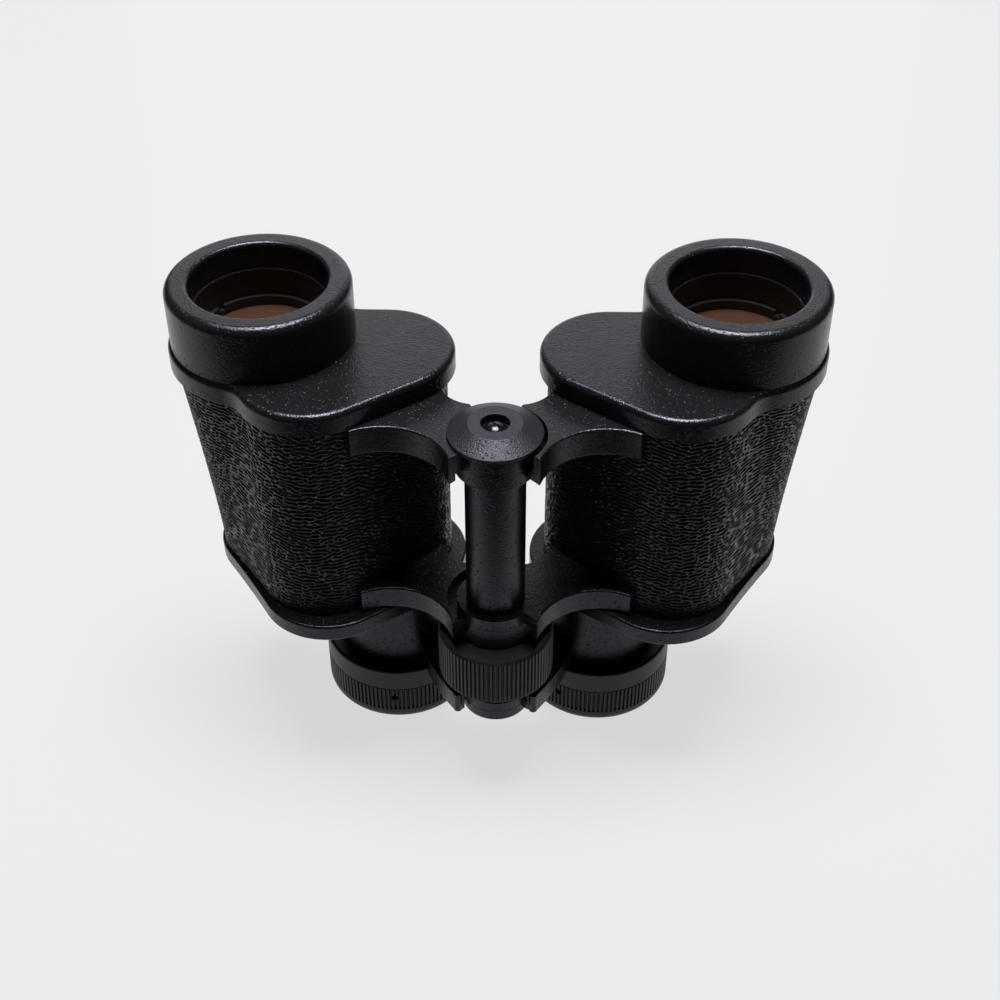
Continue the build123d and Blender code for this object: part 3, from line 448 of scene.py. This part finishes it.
def skin_rows(seed):
    """Plan points in rows up the grained outside and down the plain inside, and the height of each row."""
    outer_top = housing_outline(BODY_TOP_O, TOP_VALLEY, 0.0)
    outer_foot = housing_outline(BODY_FOOT_O, FOOT_VALLEY, 0.0)
    inner_top = housing_outline(BODY_TOP_O, TOP_VALLEY, LEATHER)
    inner_foot = housing_outline(BODY_FOOT_O, FOOT_VALLEY, LEATHER)
    counts = [steps_along(stretch) for stretch in outer_top]
    rows = round((SKIN_TOP - SKIN_FOOT) / SKIN_STEP) + 1
    share = np.linspace(0, 1, rows)[:, None]
    plan = sampled(outer_foot, counts) * (1 - share) + sampled(outer_top, counts) * share
    tangent = np.roll(plan, -1, axis=1) - np.roll(plan, 1, axis=1)
    outward = tangent / np.abs(tangent) * 1j
    plan = plan + outward * wrinkles(*plan.shape, seed) * WRINKLE_DEPTH
    plan = np.vstack([plan, sampled(inner_top, counts), sampled(inner_foot, counts)])
    height = SKIN_FOOT + (SKIN_TOP - SKIN_FOOT) * np.append(share, (1.0, 0.0))
    return plan, height[:, None]


def closed_faces(rows, columns, sign):
    """Quads between each row of points and the next, with the last row joined to the first."""
    row, column = np.meshgrid(np.arange(rows), np.arange(columns), indexing="ij")
    next_row, next_column = (row + 1) % rows, (column + 1) % columns
    corners = [(row, column), (next_row, column), (next_row, next_column), (row, next_column)]
    return np.stack([a * columns + b for a, b in corners[::sign]], axis=-1).reshape(-1, 4)


def leather_skin(side, sign, seed):
    """Closed skin round one housing, mirrored for the left one."""
    plan, height = skin_rows(seed)
    points = np.stack([sign * plan.real, plan.imag, np.broadcast_to(height, plan.shape)], axis=-1)
    mesh = bpy.data.meshes.new(f"{side}_leathercloth")
    mesh.from_pydata(points.reshape(-1, 3).tolist(), [], closed_faces(*plan.shape, sign).tolist())
    skin = placed(mesh, LEATHERCLOTH)
    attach(skin, f"{side}_barrel")
    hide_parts(f"{side}_leatherette")


# Objective lenses, crown and flint cemented into one piece of glass
FRONT_CURVE = 75.0 * MM
LENS_RINGS = 12
LENS_SEGMENTS = 120
WELD = 0.001 * MM
EDGE_ANGLE = radians(30)


def cemented_pair(side):
    """Closed lens with a curved front, turned about the barrel's axis."""
    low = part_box(f"{side}_objective_flint")[0]
    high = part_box(f"{side}_objective_crown")[1]
    radius = (high.x - low.x) / 2
    out = radius * np.linspace(1, 0, LENS_RINGS)
    rise = high.z - FRONT_CURVE + np.sqrt(FRONT_CURVE**2 - out**2)
    profile = [(0.0, low.z), (radius, low.z), *zip(out, rise)]
    lens = bmesh.new()
    points = [lens.verts.new((r, 0.0, z)) for r, z in profile]
    edges = [lens.edges.new(pair) for pair in zip(points, points[1:])]
    bmesh.ops.spin(
        lens,
        geom=points + edges,
        axis=(0.0, 0.0, 1.0),
        cent=(0.0, 0.0, 0.0),
        angle=2 * pi,
        steps=LENS_SEGMENTS,
    )
    bmesh.ops.remove_doubles(lens, verts=lens.verts, dist=WELD)
    bmesh.ops.recalc_face_normals(lens, faces=lens.faces)
    axis = middle_of(f"{side}_objective_crown")
    bmesh.ops.translate(lens, verts=lens.verts, vec=(axis.real, axis.imag, 0.0))
    mesh = bpy.data.meshes.new(f"{side}_cemented_pair")
    lens.to_mesh(mesh)
    lens.free()
    pair = placed(mesh, BLOOMED_GLASS_PAINTED_GLOW)
    mesh.set_sharp_from_angle(angle=EDGE_ANGLE)
    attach(pair, f"{side}_barrel")
    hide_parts(f"{side}_objective_crown", f"{side}_objective_flint")


for side, sign, seed in (("right", 1, 11), ("left", -1, 23)):
    leather_skin(side, sign, seed)
    cemented_pair(side)


# Camera at the photograph's viewing angle, placed from the hinge
FOCAL_LENGTH_MM = 56.70
SENSOR_WIDTH_MM = 36.0
CAMERA_ASIDE = 0.00613
CAMERA_IN_FRONT = 0.26873
CAMERA_HEIGHT = 0.30463
CAMERA_TILT = 50.24
CAMERA_TURN = 1.09
CLIP_START = 0.01


def studio_camera():
    hinge = next(joint for joint in frame["joints"] if joint["name"] == "interpupillary_hinge")
    hinge_x, hinge_y, _ = hinge["pos_m"]
    data = bpy.data.cameras.new("camera")
    data.lens = FOCAL_LENGTH_MM
    data.sensor_width = SENSOR_WIDTH_MM
    data.clip_start = CLIP_START
    camera = bpy.data.objects.new("camera", data)
    camera.location = (hinge_x + CAMERA_ASIDE, hinge_y - CAMERA_IN_FRONT, CAMERA_HEIGHT)
    camera.rotation_euler = (radians(CAMERA_TILT), 0.0, radians(CAMERA_TURN))
    bpy.context.scene.collection.objects.link(camera)
    bpy.context.scene.camera = camera


# Pale acrylic floor that sweeps up into a backdrop. Only its middle shows in the black finishes,
# from just in front of the part to the back, as if dark flags stood round the set
FLOOR_REACH = 4.0
SHOWN_HALF_WIDTH = 0.5
SHOWN_FROM = -0.1
SWEEP_BACK = 1.6
SWEEP_RADIUS = 0.5
SWEEP_HEIGHT = 1.25
SWEEP_POINTS = 25


def acrylic():
    """Cast acrylic lit from below: it glows evenly and mirrors the part only faintly."""
    material, tree = new_material("pale_acrylic")
    shader = add(
        tree,
        "ShaderNodeBsdfPrincipled",
        {
            "Base Color": linear("505152"),
            "Roughness": 0.12,
            "Specular IOR Level": 0.04,
            "Emission Color": linear("e9ebec"),
            "Emission Strength": 0.8,
        },
    )
    output(tree, shader)
    return material


def sheet(name, profile, left, right, material, shown):
    """Stage surface from a (y, z) profile between two sides, shown in reflections or not."""
    mesh = bpy.data.meshes.new(name)
    points = [(x, y, z) for y, z in profile for x in (left, right)]
    faces = [(2 * i, 2 * i + 1, 2 * i + 3, 2 * i + 2) for i in range(len(profile) - 1)]
    mesh.from_pydata(points, [], faces)
    piece = placed(mesh, material)
    piece.visible_glossy = shown


def studio_floor():
    material = acrylic()
    angles = np.linspace(0, pi / 2, SWEEP_POINTS)
    start = SWEEP_BACK - SWEEP_RADIUS
    bend = [(start + SWEEP_RADIUS * np.sin(a), SWEEP_RADIUS * (1 - np.cos(a))) for a in angles]
    sweep = [(SHOWN_FROM, 0.0), *bend, (SWEEP_BACK, SWEEP_HEIGHT)]
    sheet("middle", sweep, -SHOWN_HALF_WIDTH, SHOWN_HALF_WIDTH, material, True)
    sheet("left_wing", sweep, -FLOOR_REACH, -SHOWN_HALF_WIDTH, material, False)
    sheet("right_wing", sweep, SHOWN_HALF_WIDTH, FLOOR_REACH, material, False)
    sheet("foreground", [(-FLOOR_REACH, 0.0), sweep[0]], -FLOOR_REACH, FLOOR_REACH, material, False)


# Soft light from a box overhead and a wide panel at the back, both turned to the middle of the part
LIGHT_AIM = Vector((0.0, 0.0, 0.06))


def softbox(name, place, size, power):
    data = bpy.data.lights.new(name, "AREA")
    data.shape = "RECTANGLE"
    data.size, data.size_y = size
    data.energy = power
    lamp = bpy.data.objects.new(name, data)
    lamp.location = place
    lamp.rotation_euler = (LIGHT_AIM - Vector(place)).to_track_quat("-Z", "Y").to_euler()
    bpy.context.scene.collection.objects.link(lamp)


def studio_light():
    world = bpy.data.worlds.new("studio")
    world.use_nodes = True
    world.node_tree.nodes["Background"].inputs["Color"].default_value = linear("d9dbdc")
    bpy.context.scene.world = world
    # The room shows past the end of the floor, but it lights nothing and shows in no reflection
    world.cycles_visibility.glossy = False
    world.cycles_visibility.diffuse = False
    bpy.context.scene.view_settings.view_transform = "Standard"
    softbox("overhead", place=(0.0, 0.08, 1.0), size=(0.5, 0.36), power=23.0)
    softbox("back_panel", place=(0.0, 1.5, 0.68), size=(1.8, 0.9), power=4.8)


studio_camera()
studio_floor()
studio_light()
